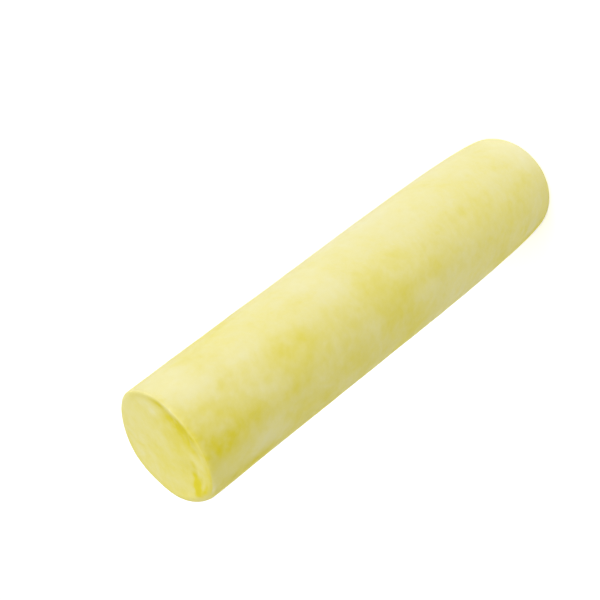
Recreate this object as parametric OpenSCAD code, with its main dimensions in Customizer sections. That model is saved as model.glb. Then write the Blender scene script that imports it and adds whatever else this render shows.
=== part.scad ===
// Chalk stick: one tapered casting that stands on its wide end, with the axis along Z.
// The origin is the centre of the flat foot, and the narrow end has a raised lip round its face.

/* [Stick] */
// Length from the foot to the crest of the lip
body_l = 102; // [80:0.5:140]
// Diameter of the taper at the lip end, before its edge is rounded
lip_d = 21; // [18:0.1:26]
// Diameter that the taper reaches at the foot, before the wall draws in
foot_d = 26.5; // [20:0.1:32]

/* [Foot end] */
// How far the wall draws in towards the flat foot
foot_draw = 1.7; // [0.3:0.1:4]
// Height over which the wall draws in
foot_draw_h = 42; // [4:1:60]

/* [Lip end] */
// Radius of the rounded outer edge of the lip
lip_edge_r = 1.2; // [0.4:0.1:3.5]
// Width of the flat crest of the lip
lip_crest_w = 0.3; // [0.2:0.1:1.5]
// Width of the slope from the crest down into the groove
lip_slope_w = 1; // [0.4:0.1:2]
// Depth of the groove below the crest
groove_depth = 0.4; // [0.2:0.1:2]
// How far the centre of the face rises above the groove
face_rise = 0.1; // [0.1:0.1:1.5]

/* [Smoothness] */
// Points along each rounded stretch of the outline
arc_steps = 20; // [8:1:32]

/* [Hidden] */
$fn = 120;

lip_r = lip_d / 2;
foot_r = foot_d / 2;
draw_per_mm = (foot_r - lip_r) / body_l;
edge_z = body_l - lip_edge_r;
crest_r = taper_r(edge_z) - lip_edge_r;
slope_r = crest_r - lip_crest_w;
groove_r = slope_r - lip_slope_w;
groove_z = body_l - groove_depth;

// Radius of the straight mould taper at height z
function taper_r(z) = foot_r - draw_per_mm * z;

// Quarter ellipse by which the wall leaves the taper and meets the foot flat
foot_curve = [
    for (i = [0 : arc_steps])
        let (turn = 90 * i / arc_steps, z = foot_draw_h * (1 - cos(turn)))
        [taper_r(z) - foot_draw * (1 - sin(turn)), z]
];

// Quarter circle from the wall up to the crest
edge_curve = [
    for (i = [0 : arc_steps])
        let (turn = 90 * i / arc_steps)
        [crest_r + lip_edge_r * cos(turn), edge_z + lip_edge_r * sin(turn)]
];

// Half a cosine wave from the crest down into the groove
slope_curve = [
    for (i = [0 : arc_steps])
        let (along = i / arc_steps)
        [slope_r - lip_slope_w * along, body_l - groove_depth * (1 - cos(180 * along)) / 2]
];

// Low dome from the groove to the centre of the face
dome_curve = [
    for (i = [1 : arc_steps])
        let (along = i / arc_steps)
        [groove_r * (1 - along), groove_z + face_rise * sin(90 * along)]
];

module chalk_stick() {
    color("#f0e88c")
        rotate_extrude()
            polygon(concat([[0, 0]], foot_curve, edge_curve, slope_curve, dome_curve));
}

chalk_stick();
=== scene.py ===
import bpy
import bmesh
import math
from mathutils import Matrix, Vector, noise


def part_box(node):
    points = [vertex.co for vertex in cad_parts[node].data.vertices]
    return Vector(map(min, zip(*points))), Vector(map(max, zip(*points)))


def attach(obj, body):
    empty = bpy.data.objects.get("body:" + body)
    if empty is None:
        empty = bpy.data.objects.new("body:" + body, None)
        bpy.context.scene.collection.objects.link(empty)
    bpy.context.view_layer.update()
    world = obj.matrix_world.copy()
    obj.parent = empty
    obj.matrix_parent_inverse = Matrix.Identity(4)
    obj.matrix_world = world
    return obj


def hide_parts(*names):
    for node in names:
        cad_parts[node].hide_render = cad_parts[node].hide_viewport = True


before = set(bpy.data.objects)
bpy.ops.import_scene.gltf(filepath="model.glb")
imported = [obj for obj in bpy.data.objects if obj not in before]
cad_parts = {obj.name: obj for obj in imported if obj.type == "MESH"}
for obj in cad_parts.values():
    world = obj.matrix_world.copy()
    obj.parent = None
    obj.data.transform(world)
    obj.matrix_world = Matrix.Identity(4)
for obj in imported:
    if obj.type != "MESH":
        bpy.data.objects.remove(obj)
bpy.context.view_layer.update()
mm = 0.001
nearly = 0.0001   # mm, the slack in testing where a point lies


def linearColour(hexCode):
    # sRGB hex to the linear values that the shader sockets take
    parts = [int(hexCode[i:i + 2], 16) / 255 for i in (1, 3, 5)]
    return [p / 12.92 if p <= 0.04045 else ((p + 0.055) / 1.055) ** 2.4 for p in parts] + [1]


def smoothStep(low, high, value):
    t = min(max((value - low) / (high - low), 0), 1)
    return t * t * (3 - 2 * t)


# Sizes of the casting in millimetres. The length comes from the frame.
stick = {
    "length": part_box("chalk_stick")[1].z / mm,
    "lipRadius": 10.5,        # straight taper at the lip end
    "footRadius": 13.25,      # straight taper at the foot
    "footDraw": 1.7,          # the wall draws in by this much at the foot
    "footDrawHeight": 42,
    "edgeRound": 0.3,         # rounded outer edge of the lip, where it is sharpest
    "crestWidth": 0.2,
    "slopeWidth": 1.0,
    "grooveDepth": 0.4,
    "faceRise": 0.1,
    "sides": 52,              # sides of the first ring, before subdivision
    "footInsets": [0.9, 0.25],             # rings on the flat foot, measured in from its edge
    "footHeights": [0.12, 0.5, 1.1, 2.0, 3.2],   # close rings that keep the foot's edge crisp
    "wallStep": 1.75,         # height between rings on the plain wall
    "edgeRings": 6,
    "slopeRings": 5,
    "smoothing": 2,           # subdivision level
}


def wallRadius(height):
    taper = (stick["footRadius"] - stick["lipRadius"]) / stick["length"]
    down = min(max(1 - height / stick["footDrawHeight"], 0), 1)
    return stick["footRadius"] - taper * height - stick["footDraw"] * (1 - math.sqrt(1 - down * down))


def outlineStations():
    # (radius, height) of every ring, from just inside the foot to the groove round the face
    foot = wallRadius(0)
    stations = [(foot - inset, 0) for inset in stick["footInsets"]] + [(foot, 0)]
    edgeRound = stick["edgeRound"]
    top = stick["length"] - edgeRound
    low = stick["footHeights"][-1]
    steps = round((top - low) / stick["wallStep"])
    heights = stick["footHeights"] + [low + (top - low) * i / steps for i in range(1, steps + 1)]
    stations += [(wallRadius(h), h) for h in heights]
    crest = wallRadius(top) - edgeRound
    for i in range(1, stick["edgeRings"] + 1):
        turn = math.pi / 2 * i / stick["edgeRings"]
        stations.append((crest + edgeRound * math.cos(turn), top + edgeRound * math.sin(turn)))
    slope = crest - stick["crestWidth"]
    for i in range(stick["slopeRings"] + 1):
        along = i / stick["slopeRings"]
        drop = stick["grooveDepth"] * (1 - math.cos(math.pi * along)) / 2
        stations.append((slope - stick["slopeWidth"] * along, stick["length"] - drop))
    return stations


def castStick():
    # one ring is extruded up the wall, over the lip and down into the groove, then both ends are filled
    stations = outlineStations()
    firstRadius = stations[0][0] * mm
    bpy.ops.object.select_all(action="DESELECT")
    bpy.ops.mesh.primitive_circle_add(vertices=stick["sides"], radius=firstRadius, fill_type="NOTHING")
    body = bpy.context.object
    body.name = "chalk_body"
    bpy.ops.object.mode_set(mode="EDIT")
    bpy.ops.mesh.select_mode(type="VERT")
    for (radius, height), (nextRadius, nextHeight) in zip(stations, stations[1:]):
        rise = (nextHeight - height) * mm
        bpy.ops.mesh.extrude_region_move(TRANSFORM_OT_translate={"value": (0, 0, rise)})
        grow = nextRadius / radius
        bpy.ops.transform.resize(value=(grow, grow, 1), center_override=(0, 0, nextHeight * mm))
    bpy.ops.mesh.fill_grid(span=stick["sides"] // 4)
    bpy.ops.mesh.select_all(action="DESELECT")
    cage = bmesh.from_edit_mesh(body.data)
    for vert in cage.verts:
        vert.select = vert.co.z < nearly * mm and vert.co.length < firstRadius + nearly * mm
    cage.select_flush(True)
    bmesh.update_edit_mesh(body.data)
    bpy.ops.mesh.fill_grid(span=stick["sides"] // 4)
    bpy.ops.mesh.select_all(action="SELECT")
    bpy.ops.mesh.normals_make_consistent(inside=False)
    bpy.ops.object.mode_set(mode="OBJECT")
    print("stick cast:", len(body.data.vertices), "points in the cage")
    return body


# The lip is uneven all round. Each swelling is (angle, half width, amount): angles are in
# degrees round +Z from +X, amounts in mm added to the plain size.
lip = {
    "edgeRound": [(36, 60, 1.1), (115, 60, 0.8), (178, 52, 1.3), (255, 62, 0.3)],
    "edgeFall": [(250, 75, 1.4)],          # makes the rounded edge taller than it is wide
    "crestDrop": [(60, 50, 0.05), (188, 50, 0.1)],
    "slopeWidth": [(210, 38, 2.7), (268, 48, 1.1), (75, 90, 2.0)],
    "grooveDepth": [(274, 62, 0.17), (203, 27, 0.2)],
    "plainDepth": 0.1,        # depth of the face below the crest where there is no groove
    "wander": 0.08,           # height of the small waves along the lip and over the face
    "waveLength": 4.5,
    "fadeDown": 9,            # the change in edge height fades out over this much wall
}


def swelling(angle, bumps):
    total = 0
    for centre, halfWidth, amount in bumps:
        away = abs((angle - centre + 180) % 360 - 180) / halfWidth
        if away < 1:
            total += amount * (1 + math.cos(math.pi * away)) / 2
    return total


def shapeLip(body):
    # every ring of the lip and face keeps its place in the outline, and the outline changes round the axis
    top = stick["length"]
    edgeFoot = top - stick["edgeRound"]
    meanCrest = wallRadius(edgeFoot) - stick["edgeRound"]
    meanSlope = meanCrest - stick["crestWidth"]
    meanGroove = meanSlope - stick["slopeWidth"]
    faceCentre = top - stick["grooveDepth"] + stick["faceRise"]
    for vert in body.data.vertices:
        x, y, height = [c / mm for c in vert.co]
        if height < edgeFoot - lip["fadeDown"]:
            continue
        radius = math.hypot(x, y)
        angle = math.degrees(math.atan2(y, x))
        edge = stick["edgeRound"] + swelling(angle, lip["edgeRound"])
        fall = edge + swelling(angle, lip["edgeFall"])
        crest = wallRadius(edgeFoot) - edge
        crestHeight = top - swelling(angle, lip["crestDrop"])
        slope = crest - stick["crestWidth"]
        groove = slope - stick["slopeWidth"] - swelling(angle, lip["slopeWidth"])
        depth = lip["plainDepth"] + swelling(angle, lip["grooveDepth"])
        wave = lip["wander"] * (0.5 + 0.5 * noise.noise(Vector((x, y, 0)) / lip["waveLength"]))
        if radius > wallRadius(edgeFoot) + nearly:
            fade = smoothStep(edgeFoot - lip["fadeDown"], edgeFoot, height)
            height += fade * (crestHeight - fall - edgeFoot)
            newRadius = wallRadius(height)
        elif radius > meanCrest:
            newRadius = crest + edge * (radius - meanCrest) / stick["edgeRound"]
            height = crestHeight - fall * (top - height) / stick["edgeRound"]
            height -= wave * (1 - smoothStep(0, fall, crestHeight - height))
        elif radius > meanSlope:
            newRadius = slope + radius - meanSlope
            height = crestHeight - wave
        elif radius > meanGroove:
            newRadius = slope - (slope - groove) * (meanSlope - radius) / stick["slopeWidth"]
            height = crestHeight - depth * (top - height) / stick["grooveDepth"] - wave
        else:
            inward = 1 - radius / meanGroove
            newRadius = groove * (1 - inward)
            rise = math.sin(math.pi / 2 * inward)
            height = (crestHeight - depth) * (1 - rise) + faceCentre * rise - wave * (1 - 2 * inward * rise)
        stretch = newRadius / radius if radius > nearly else 1
        vert.co = (x * stretch * mm, y * stretch * mm, height * mm)
    print("lip shaped")


# Unevenness of the cast skin. Lumps are (name, size in mm, height in mm, depth of detail).
skin = {
    "lumps": [("mouldWave", 26.0, 0.14, 1), ("handWear", 7.0, 0.09, 2), ("powderLumps", 1.9, 0.045, 3)],
    "pressedIn": 0.62,        # above a half, the lumps lie mostly below the plain surface
    "footFade": 3.0,          # mm of wall over which they die away, so that the foot stays flat
}


def roughenSkin(body):
    bpy.ops.object.select_all(action="DESELECT")
    body.select_set(True)
    bpy.context.view_layer.objects.active = body
    body.modifiers.new("smoothing", "SUBSURF")
    body.modifiers["smoothing"].levels = stick["smoothing"]
    body.modifiers["smoothing"].render_levels = stick["smoothing"]
    bpy.ops.object.modifier_apply(modifier="smoothing")
    offFoot = body.vertex_groups.new(name="off_foot")
    for vert in body.data.vertices:
        offFoot.add([vert.index], smoothStep(0, skin["footFade"], vert.co.z / mm), "REPLACE")
    for name, size, height, depth in skin["lumps"]:
        lumps = bpy.data.textures.new(name, "CLOUDS")
        lumps.noise_scale = size * mm
        lumps.noise_depth = depth
        press = body.modifiers.new(name, "DISPLACE")
        press.texture = lumps
        press.texture_coords = "LOCAL"
        press.strength = height * mm
        press.mid_level = skin["pressedIn"]
        press.vertex_group = "off_foot"
        bpy.ops.object.modifier_apply(modifier=name)
    bpy.ops.object.shade_smooth()
    print("skin roughened:", len(body.data.polygons), "faces")


# Where the pale surface powder is missing and the pigment shows, or lies thicker (a negative amount); some
# patches are painted shade and some painted highlight, marked below. On the wall each patch is (angle,
# height, half angle, half height, amount), and on the face it is (angle, radius, half angle, half width,
# amount).
rubbedAndPaintedLight = {
    "wall": [
        # below the lip; the pale patch at 203 degrees on the lip's edge is a painted highlight line, and the
        # patch at 308 degrees on the edge is painted shade that dims its highlight
        (245, 98, 30, 15, 0.25), (200, 93, 14, 13, 0.22), (285, 90, 16, 7, 0.10), (268, 102, 52, 13, 0.20),
        (270, 102, 56, 3, 0.14), (275, 94, 24, 9, 0.15), (312, 92, 42, 5.5, 0.14), (336, 99.5, 18, 4, -0.09),
        (243, 91, 20, 6, 0.10), (203, 101.5, 12, 0.6, -0.18), (215, 89, 18, 6, -0.09), (240, 97, 16, 4, 0.09),
        (308, 101.8, 24, 1, 0.07), (242, 84, 14, 12, 0.08),
        # middle of the stick
        (262, 80, 34, 26, 0.13), (262, 52, 32, 34, 0.12), (225, 62, 40, 34, 0.10), (212, 50, 22, 60, -0.06),
        (300, 71, 16, 9, 0.06), (325, 80, 14, 6, -0.08), (330, 43, 14, 7, -0.08), (248, 42, 14, 8, 0.08),
        (236, 47, 16, 6, -0.10), (266, 50, 18, 9, -0.17), (276, 81, 22, 11, 0.13),
        # towards the foot
        (277, 31, 12, 10, 0.08), (240, 12, 10, 5, 0.05), (224, 13, 30, 18, -0.13), (285, 11, 14, 7, 0.06),
        (232, 28, 34, 7, -0.10), (240, 23, 36, 6, -0.11), (211, 9, 12, 9, -0.12),
        # the back, towards +Y
        (120, 60, 50, 40, 0.10), (60, 30, 40, 30, 0.10),
    ],
    "face": [
        # groove inside the lip: bare pigment, darkened as painted shade of the recess
        (266, 7.8, 40, 2.3, 0.42), (288, 8.3, 26, 2.0, 0.30), (311, 9.2, 17, 1.5, 0.32),
        (326, 9.5, 16, 1.2, 0.14), (342, 9.9, 14, 0.9, 0.10), (270, 7.6, 28, 1.4, 0.12),
        # crest of the lip: yellower, darker patches that are painted shade dimming the lit crest, and at 205
        # degrees a thin paler line that is a painted highlight on its outer edge
        (247, 10.0, 34, 1.3, 0.26), (275, 10.0, 26, 1.2, 0.12), (272, 9.3, 38, 1.5, 0.32),
        (306, 9.8, 20, 1.2, 0.16), (214, 9.7, 32, 1.8, 0.18), (213, 9.4, 14, 0.7, -0.08),
        (205, 10.4, 20, 0.4, -0.2), (195, 9.2, 18, 0.6, 0.22),
        # smear on one side of the face: pigment, partly darkened as painted shade in the corner under the
        # smeared lip
        (205, 7.9, 14, 0.9, 0.22), (222, 7.9, 14, 1.0, 0.10), (203, 6.6, 14, 1.2, 0.32),
        (189, 7.6, 16, 1.3, 0.52), (182, 8.6, 14, 1.1, 0.46), (222, 6.3, 18, 1.2, 0.14),
        (228, 7.9, 16, 1.2, -0.06),
        # flat of the face
        (290, 5.6, 66, 4.2, 0.16), (323, 7.0, 10, 1.0, -0.16), (45, 7.0, 75, 5.0, -0.15),
        (115, 7.0, 60, 5.0, -0.13), (78, 6.0, 52, 5.0, -0.13), (255, 4.5, 75, 4.2, 0.14),
        (195, 4.2, 42, 4.2, 0.12), (301, 7.8, 16, 2.5, 0.15), (240, 8.3, 14, 1.6, 0.10),
        (150, 8.0, 16, 2.0, 0.10),
    ],
    "faceUp": 0.7,            # a surface whose normal rises more than this belongs to the face
    "breakSize": 1.7,         # mm across the uneven spots in a patch
    "raggedness": 0.4,
    "raggedDetail": 3,
}


def patchAmount(angle, place, patches):
    # each patch is strongest in the middle and dies away smoothly towards its edge
    total = 0
    for patchAngle, patchPlace, halfAngle, halfPlace, amount in patches:
        along = abs((angle - patchAngle + 180) % 360 - 180) / halfAngle
        across = abs(place - patchPlace) / halfPlace
        total += amount * (1 - smoothStep(0, 1, math.hypot(along, across)))
    return total


def rubPowderAndPaintLight(body):
    # the amount rubbed off, painted shade and painted highlight included, is kept in an attribute that the
    # chalk material reads
    layer = body.data.attributes.new(name="rubbedAndPaintedLight", type="FLOAT", domain="POINT")
    for vert in body.data.vertices:
        x, y, height = [c / mm for c in vert.co]
        radius = math.hypot(x, y)
        angle = math.degrees(math.atan2(y, x))
        if height > stick["length"] / 2 and vert.normal.z > rubbedAndPaintedLight["faceUp"]:
            amount = patchAmount(angle, radius, rubbedAndPaintedLight["face"])
        else:
            amount = patchAmount(angle, height, rubbedAndPaintedLight["wall"])
        breaks = noise.fractal(vert.co / (rubbedAndPaintedLight["breakSize"] * mm), 1.0, 2.0, rubbedAndPaintedLight["raggedDetail"])
        layer.data[vert.index].value = amount * (1 + rubbedAndPaintedLight["raggedness"] * breaks)
    print("powder rubbed back")


body = castStick()
shapeLip(body)
roughenSkin(body)
rubPowderAndPaintLight(body)


def addNode(tree, kind, settings=None, inputs=None):
    # a node with its settings, and inputs given as values or as other nodes' output sockets
    node = tree.nodes.new(kind)
    for name, value in (settings or {}).items():
        setattr(node, name, value)
    for name, value in (inputs or {}).items():
        if isinstance(value, bpy.types.NodeSocket):
            tree.links.new(value, node.inputs[name])
        else:
            node.inputs[name].default_value = value
    return node


# The powder's share runs from 0, where the cast body shows, to 1, where it is covered. Sizes are in mm.
chalk = {
    "pigment": "#eadc28",     # the cast body
    "bloom": "#f6f3d8",       # pale powder on its surface
    "bareAndShaded": "#d6c416",        # the body where the powder is rubbed off, made darker than the pigment as painted shade in the groove and other recesses
    "bareAndShadeShare": 0.6,         # how far the rubbed patches turn the colour towards this darker colour, which is rubbed pigment and painted shade at once
    "paintedHighlightSide": 322,           # the side painted palest, facing the key lamp: a painted highlight; degrees round +Z from +X
    "paintedHighlightFrom": -0.2,          # place across the stick, in foot diameters, where the powder share is least, on the side away from the lamp
    "paintedHighlightTo": 0.45,            # and where it is most
    # powder share on the side away from the key lamp and on the side facing it; the rise between them is a
    # painted highlight
    "powderAwayFromLamp": 0.265,
    "powderTowardsLamp": 0.54,
    # clouds, wisps and flecks: (size, change in the powder's share, distortion, roughness)
    "patterns": [
        (19.0, 0.20, 0.3, 0.5),
        (4.5, 0.04, 1.6, 0.6),
        (1.6, 0.055, 0.0, 0.6),
    ],
    "grainSize": 0.35,        # real chalk grains are finer than can be drawn, so these are coarsened to show
    "grainDepth": 0.05,
    "grainStrength": 0.25,
}


def castChalk():
    # cast gypsum chalk: dead matt, with pale powder in clouds over a stronger yellow body and a fine grain;
    # it is painted paler towards the key lamp as a painted highlight, and darker where the rubbed patches
    # carry painted shade
    material = bpy.data.materials.new("cast_gypsum_chalk_yellow")
    material.use_nodes = True
    tree = material.node_tree
    tree.nodes.clear()
    place = addNode(tree, "ShaderNodeTexCoord").outputs["Object"]
    towards = math.radians(chalk["paintedHighlightSide"])
    across = 2 * stick["footRadius"] * mm
    side = addNode(tree, "ShaderNodeVectorMath", {"operation": "DOT_PRODUCT"}, {
        0: place, 1: (math.cos(towards) / across, math.sin(towards) / across, 0)})
    # painted highlight: the powder share, and so the paleness, rises towards the side that the key lamp
    # lights
    paintedHighlight = addNode(tree, "ShaderNodeMapRange", None, {
        "Value": side.outputs["Value"], "From Min": chalk["paintedHighlightFrom"], "From Max": chalk["paintedHighlightTo"],
        "To Min": chalk["powderAwayFromLamp"], "To Max": chalk["powderTowardsLamp"]})
    powder = paintedHighlight.outputs[0]
    for size, spread, distortion, roughness in chalk["patterns"]:
        pattern = addNode(tree, "ShaderNodeTexNoise", None, {
            "Vector": place, "Scale": 1 / (size * mm), "Detail": 3.0, "Roughness": roughness,
            "Distortion": distortion})
        part = addNode(tree, "ShaderNodeMapRange", None, {
            "Value": pattern.outputs[0], "From Min": 0.3, "From Max": 0.7,
            "To Min": -spread, "To Max": spread})
        total = addNode(tree, "ShaderNodeMath", {"operation": "ADD"}, {0: powder, 1: part.outputs[0]})
        powder = total.outputs[0]
    # rubbed-off powder together with the painted shade and painted highlight of the patch tables
    lostAndPaintedLight = addNode(tree, "ShaderNodeAttribute", {"attribute_name": "rubbedAndPaintedLight"}).outputs["Fac"]
    kept = addNode(tree, "ShaderNodeMath", {"operation": "SUBTRACT", "use_clamp": True}, {0: powder, 1: lostAndPaintedLight})
    powdered = addNode(tree, "ShaderNodeMix", {"data_type": "RGBA"}, {
        "Factor": kept.outputs[0], 6: linearColour(chalk["pigment"]), 7: linearColour(chalk["bloom"])})
    # the darker bare colour is partly the rubbed body and partly painted shade
    bareAndShade = addNode(tree, "ShaderNodeMath", {"operation": "MULTIPLY", "use_clamp": True}, {
        0: lostAndPaintedLight, 1: chalk["bareAndShadeShare"]})
    colour = addNode(tree, "ShaderNodeMix", {"data_type": "RGBA"}, {
        "Factor": bareAndShade.outputs[0], 6: powdered.outputs[2], 7: linearColour(chalk["bareAndShaded"])})
    grain = addNode(tree, "ShaderNodeTexNoise", None, {
        "Vector": place, "Scale": 1 / (chalk["grainSize"] * mm), "Detail": 3.0, "Roughness": 0.6})
    grainBump = addNode(tree, "ShaderNodeBump", None, {
        "Height": grain.outputs[0], "Strength": chalk["grainStrength"], "Distance": chalk["grainDepth"] * mm})
    shader = addNode(tree, "ShaderNodeBsdfPrincipled", None, {
        "Base Color": colour.outputs[2], "Roughness": 0.95, "IOR": 1.52, "Specular IOR Level": 0.25,
        "Sheen Weight": 0.12, "Sheen Roughness": 0.6, "Normal": grainBump.outputs[0]})
    addNode(tree, "ShaderNodeOutputMaterial", None, {"Surface": shader.outputs[0]})
    return material


body.data.materials.clear()
body.data.materials.append(castChalk())
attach(body, "root")
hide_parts("chalk_stick")
print("chalk material on")

# Sizes and radii are in metres
studio = {
    "floorSize": 7.0,
    "floorColour": "#f4f4f2",
    "glowNear": 0.43,         # weaker near the stick, where the softboxes light the paper as well
    "glowFar": 1.0,
    "nearRadius": 0.7,
    "farRadius": 1.8,
    "domeRadius": 3.0,
    "skyColour": "#ffffff",
    "skyStrength": 0.13,
}


def floorPaper():
    # matt white background paper: its glow keeps the shadows faint and grows until it matches the backdrop
    material = bpy.data.materials.new("studio_floor_paper")
    material.use_nodes = True
    tree = material.node_tree
    tree.nodes.clear()
    place = addNode(tree, "ShaderNodeTexCoord").outputs["Object"]
    away = addNode(tree, "ShaderNodeVectorMath", {"operation": "LENGTH"}, {0: place})
    glow = addNode(tree, "ShaderNodeMapRange", {"interpolation_type": "SMOOTHSTEP"}, {
        "Value": away.outputs["Value"], "From Min": studio["nearRadius"], "From Max": studio["farRadius"],
        "To Min": studio["glowNear"], "To Max": studio["glowFar"]})
    shader = addNode(tree, "ShaderNodeBsdfPrincipled", None, {
        "Base Color": linearColour(studio["floorColour"]), "Roughness": 0.9,
        "Emission Color": linearColour(studio["skyColour"]), "Emission Strength": glow.outputs[0]})
    addNode(tree, "ShaderNodeOutputMaterial", None, {"Surface": shader.outputs[0]})
    return material


def backdropPaper():
    # plain white paper lit from behind: the same white all over
    material = bpy.data.materials.new("studio_backdrop_paper")
    material.use_nodes = True
    tree = material.node_tree
    tree.nodes.clear()
    light = addNode(tree, "ShaderNodeEmission", None, {
        "Color": linearColour(studio["skyColour"]), "Strength": studio["glowFar"]})
    addNode(tree, "ShaderNodeOutputMaterial", None, {"Surface": light.outputs[0]})
    return material


bpy.ops.object.select_all(action="DESELECT")
bpy.ops.mesh.primitive_plane_add(size=studio["floorSize"], location=(0, 0, 0))
floor = bpy.context.object
floor.name = "floor"
floor.data.materials.append(floorPaper())

# the dome only hides the grey horizon: it neither lights nor shades the stick
bpy.ops.mesh.primitive_uv_sphere_add(segments=64, ring_count=32, radius=studio["domeRadius"])
backdrop = bpy.context.object
backdrop.name = "backdrop"
backdrop.visible_diffuse = False
backdrop.visible_glossy = False
backdrop.visible_shadow = False
backdrop.data.materials.append(backdropPaper())

world = bpy.data.worlds.new("studio_sky")
bpy.context.scene.world = world
world.use_nodes = True
world.node_tree.nodes["Background"].inputs["Color"].default_value = linearColour(studio["skyColour"])
world.node_tree.nodes["Background"].inputs["Strength"].default_value = studio["skyStrength"]

# Softboxes: azimuth and elevation in degrees as seen from the stick, distance and size in metres
lampAim = Vector((0, 0, 0.05))   # metres, about half way up the stick
lamps = {
    "key_softbox": {"azimuth": 326, "elevation": 14, "distance": 1.2, "size": 0.8, "watts": 4.5},
    "top_softbox": {"azimuth": 300, "elevation": 86, "distance": 2.4, "size": 1.5, "watts": 45.0},
}


def hangLamp(name, setup):
    azimuth, elevation = math.radians(setup["azimuth"]), math.radians(setup["elevation"])
    away = Vector((math.cos(azimuth) * math.cos(elevation), math.sin(azimuth) * math.cos(elevation),
                   math.sin(elevation)))
    bpy.ops.object.light_add(type="AREA", location=lampAim + away * setup["distance"])
    lamp = bpy.context.object
    lamp.name = name
    lamp.data.shape = "DISK"
    lamp.data.size = setup["size"]
    lamp.data.energy = setup["watts"]
    lamp.rotation_euler = away.to_track_quat("Z", "Y").to_euler()


for name, setup in lamps.items():
    hangLamp(name, setup)

# The camera looks down on the lip at the near end, rolled so that the stick lies across the view
view = {
    "place": (0, -127.5, 161.2),  # mm
    "azimuth": 2.8,               # degrees from +Y towards +X
    "downward": 37.4,
    "roll": 126.05,
    "halfAngle": 18.5,
    "sensorWidth": 36,            # mm
    "clip": (0.01, 20),           # metres
}


def setCamera():
    azimuth, down = math.radians(view["azimuth"]), math.radians(view["downward"])
    ahead = Vector((math.sin(azimuth) * math.cos(down), math.cos(azimuth) * math.cos(down), -math.sin(down)))
    right = ahead.cross(Vector((0, 0, 1))).normalized()
    up = right.cross(ahead)
    roll = math.radians(view["roll"])
    rolledUp = up * math.cos(roll) + right * math.sin(roll)
    rolledRight = right * math.cos(roll) - up * math.sin(roll)
    turn = Matrix((rolledRight, rolledUp, -ahead)).transposed()
    bpy.ops.object.camera_add()
    camera = bpy.context.object
    camera.matrix_world = Matrix.Translation(Vector(view["place"]) * mm) @ turn.to_4x4()
    camera.data.sensor_width = view["sensorWidth"]
    camera.data.lens = view["sensorWidth"] / 2 / math.tan(math.radians(view["halfAngle"]))
    camera.data.clip_start, camera.data.clip_end = view["clip"]
    bpy.context.scene.camera = camera


setCamera()
bpy.context.scene.view_settings.view_transform = "Standard"
print("studio set")
